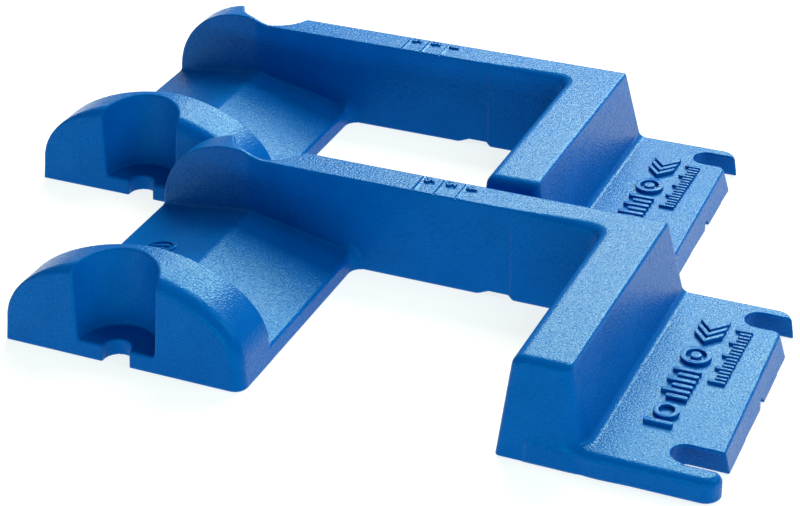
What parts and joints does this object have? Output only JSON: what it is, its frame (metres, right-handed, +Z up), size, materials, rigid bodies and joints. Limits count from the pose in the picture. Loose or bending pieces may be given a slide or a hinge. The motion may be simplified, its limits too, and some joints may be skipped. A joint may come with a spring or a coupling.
{
  "type": "caster floor dock pair",
  "caption": "Blue moulded plastic floor docks that guide the casters of wheeled kitchen equipment over a ramp into a stop, screwed to the floor.",
  "frame": {"origin": "middle of the pair as placed in the rest pose, on the floor plane under both docks", "axes": "+X the way a caster rolls in, from the ramp to the crossbar; +Y from the near dock to the far dock; +Z up from the floor"},
  "size_m": [0.4708, 0.3306, 0.06],
  "materials": {
    "near_dock_plastic": "satin blue polymer with a fine moulded grain",
    "far_dock_plastic": "satin blue polymer with a fine moulded grain"
  },
  "bodies": {
    "near_dock": {"near_dock": "near_dock_plastic"},
    "far_dock": {"far_dock": "far_dock_plastic"}
  },
  "joints": [
    {"name": "spacing_slide", "type": "slide", "parent": "near_dock", "child": "far_dock", "axis": [0, 1, 0], "range_m": [0, 1]}
  ]
}
